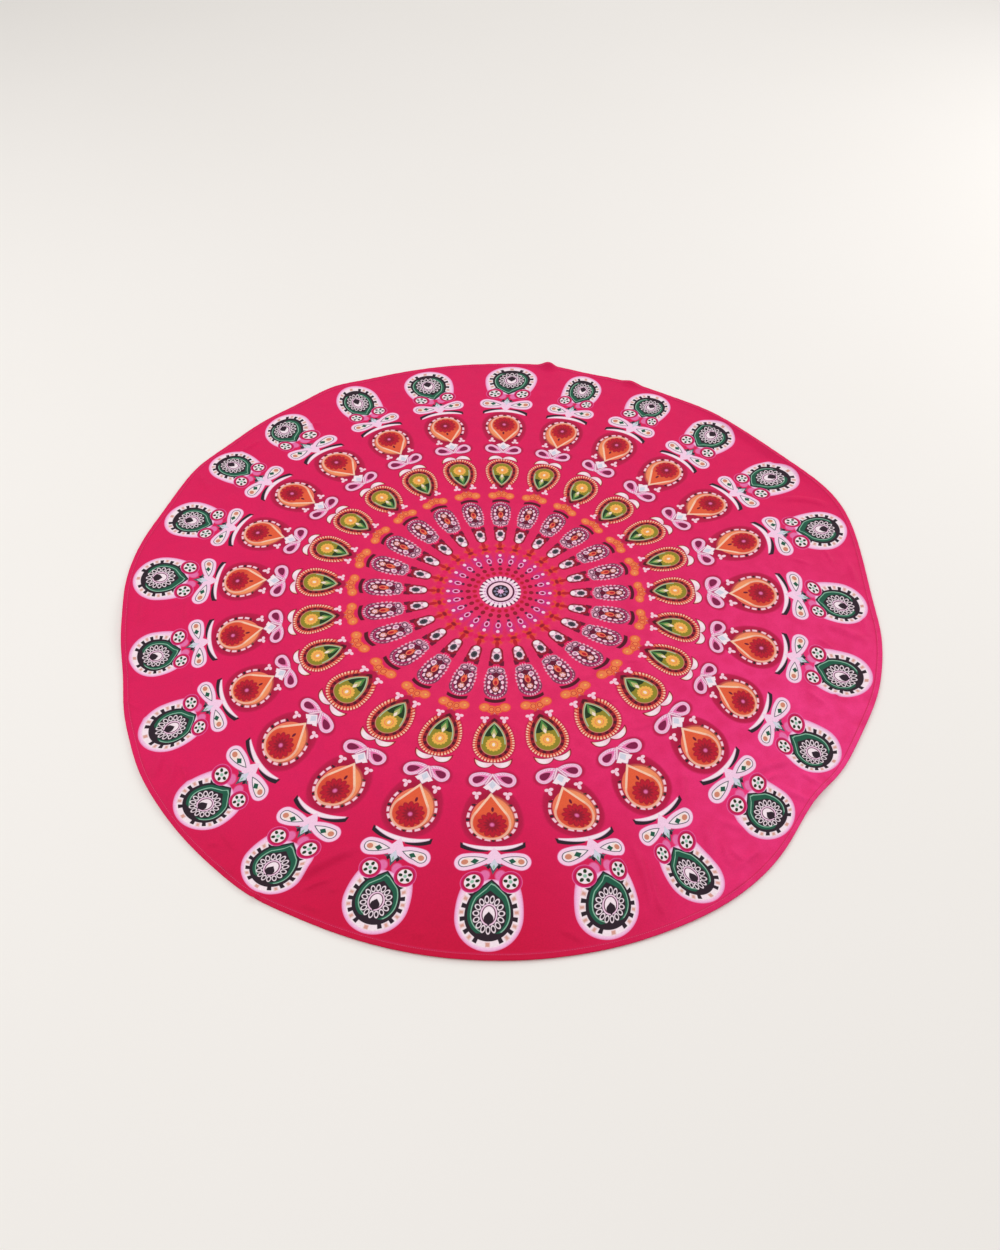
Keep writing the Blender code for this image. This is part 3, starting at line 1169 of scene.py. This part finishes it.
def cloth_material():
    """Printed polyester: the print, a fine weave and a slight sheen, paler underneath."""
    material, tree, shader = new_material("printed_cloth")
    shader.inputs["Roughness"].default_value = 0.72
    shader.inputs["Specular IOR Level"].default_value = 0.2
    shader.inputs["Sheen Weight"].default_value = 0.06
    shader.inputs["Sheen Roughness"].default_value = 0.4
    shader.inputs["Sheen Tint"].default_value = (1.0, 0.45, 0.8, 1.0)

    place = coordinates(tree, "Object")
    across, up = print_coordinates(tree)
    reach = length(across, up)
    ink = Ink(tree, linear(GROUND))
    tint_ground_with_painted_light(ink, place, across, up)
    print_motifs(ink, across, up, reach)

    nap = noise(tree, place, *NAP[:3])
    ink.blend((nap - 0.5) * NAP_CONTRAST + NAP_DEPTH, linear(BLACK))
    _, _, rise = parts_of(tree, coordinates(tree, "Normal"))
    underside = rise.made("MULTIPLY_ADD", -4.0, -0.6, clamp=True)
    in_hem = (reach - HEM_LINE).made("ADD", 0.5, clamp=True)
    ink.blend(underside * (UNDER_STRENGTH - in_hem * UNDER_STRENGTH), linear(UNDER_SHADE))
    tree.links.new(ink.colour.socket, shader.inputs["Base Color"])
    add_bump(tree, shader, cloth_relief(tree, place, across, up), RELIEF, RELIEF_STRENGTH)
    return material


def thread_material():
    """Polyester thread in two close shades, with its twisted ply."""
    material, tree, shader = new_material("hem_thread")
    shader.inputs["Roughness"].default_value = 0.5
    shader.inputs["Sheen Weight"].default_value = 0.3
    place = coordinates(tree, "Object")
    ink = Ink(tree, linear(THREAD_SHADES[0]))
    ink.blend(noise(tree, place, THREAD_CHANGES), linear(THREAD_SHADES[1]))
    tree.links.new(ink.colour.socket, shader.inputs["Base Color"])
    add_bump(tree, shader, noise(tree, place, PLY_CHANGES), PLY_RELIEF)
    return material


def floor_material():
    material, tree, shader = new_material("pale_floor")
    shader.inputs["Roughness"].default_value = 0.9
    shader.inputs["Specular IOR Level"].default_value = 0.1
    place = coordinates(tree, "Object")
    ink = Ink(tree, linear(FLOOR_SHADES[0]))
    ink.blend(noise(tree, place, FLOOR_CHANGES), linear(FLOOR_SHADES[1]))
    tree.links.new(ink.colour.socket, shader.inputs["Base Color"])
    return material


# ---------------------------------------------------------------- floor, lights and camera
FLOOR_REACH = 14.0
FLOOR_DROP = 0.0004  # keeps the floor just clear of the cloth

SKY_SHADE = "FDFAF6"
SKY_STRENGTH = 0.445

# The soft lights: the name, the place, the point that it faces, the side of its square in
# metres and its power in watts
LIGHTS = (
    ("key", (0.5, 5.2, 3.4), (0, 3.0, 0), 3.4, 47),
    ("raking", (3.6, 1.6, 1.9), (0, 0, 0), 1.6, 50),
    ("left", (-3.4, 0.2, 3.0), (0, 0, 0), 2.6, 56),
    ("overhead", (0, -1.5, 4.2), (0, -0.9, 0), 3.5, 47),
)

CAMERA_PLACE = (0.0044, -1.2918, 1.4587)  # from the middle of the print
CAMERA_TARGET = (0.0044, -0.0903, 0.0)
CAMERA_ROLL = math.radians(0.843)
FOCAL_PIXELS = 972.67
FRAME_HEIGHT_PIXELS = 1250
SENSOR_HEIGHT = 36.0
CLOSEST = 0.02
FURTHEST = 60


def make_floor():
    far = FLOOR_REACH
    mesh = bpy.data.meshes.new("floor")
    corners = [(-far, -far, 0), (far, -far, 0), (far, far, 0), (-far, far, 0)]
    mesh.from_pydata(corners, [], [(0, 1, 2, 3)])
    mesh.materials.append(floor_material())
    floor = bpy.data.objects.new("floor", mesh)
    floor.location.z = -FLOOR_DROP
    bpy.context.scene.collection.objects.link(floor)


def pointed(obj, place, target, roll=0.0):
    """Puts a camera or light here, facing the target, and turned about its own axis."""
    forward = (Vector(target) - Vector(place)).normalized()
    right = forward.cross(Vector((0, 0, 1))).normalized()
    up = right.cross(forward)
    tilted = right * math.cos(roll) + up * math.sin(roll)
    columns = Matrix((tilted, tilted.cross(forward), -forward)).transposed()
    obj.matrix_world = Matrix.Translation(place) @ columns.to_4x4()


def add_lights():
    world = bpy.data.worlds.new("studio")
    world.use_nodes = True
    background = world.node_tree.nodes["Background"]
    background.inputs["Color"].default_value = linear(SKY_SHADE)
    background.inputs["Strength"].default_value = SKY_STRENGTH
    bpy.context.scene.world = world
    for name, place, target, side, power in LIGHTS:
        data = bpy.data.lights.new(name, "AREA")
        data.shape = "SQUARE"
        data.size = side
        data.energy = power
        light = bpy.data.objects.new(name, data)
        bpy.context.scene.collection.objects.link(light)
        pointed(light, place, target)


def add_camera(middle):
    """The photo's viewpoint, with the middle of the towel's box at this place on the print."""
    data = bpy.data.cameras.new("camera")
    data.sensor_fit = "VERTICAL"
    data.sensor_height = SENSOR_HEIGHT
    data.lens = SENSOR_HEIGHT * FOCAL_PIXELS / FRAME_HEIGHT_PIXELS
    data.clip_start = CLOSEST
    data.clip_end = FURTHEST
    camera = bpy.data.objects.new("camera", data)
    bpy.context.scene.collection.objects.link(camera)
    move = Vector((middle[0], middle[1], 0))
    pointed(camera, Vector(CAMERA_PLACE) - move, Vector(CAMERA_TARGET) - move, CAMERA_ROLL)
    bpy.context.scene.camera = camera


# ---------------------------------------------------------------- putting it together
rim_count, cloth_flats = cloth_points()
cloth_places, cloth_triangles = sheet_of(rim_count, cloth_flats)
box_middle = (cloth_places.min(axis=0) + cloth_places.max(axis=0)) / 2

add_camera(box_middle)
cloth = make_cloth(box_middle, rim_count, cloth_flats, cloth_places, cloth_triangles)
cloth.data.materials.append(cloth_material())
stitches = make_stitches(box_middle)
stitches.data.materials.append(thread_material())
make_floor()
add_lights()
bpy.context.scene.view_settings.view_transform = "Standard"

for piece in (cloth, stitches):
    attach(piece, "root")
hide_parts("cloth")
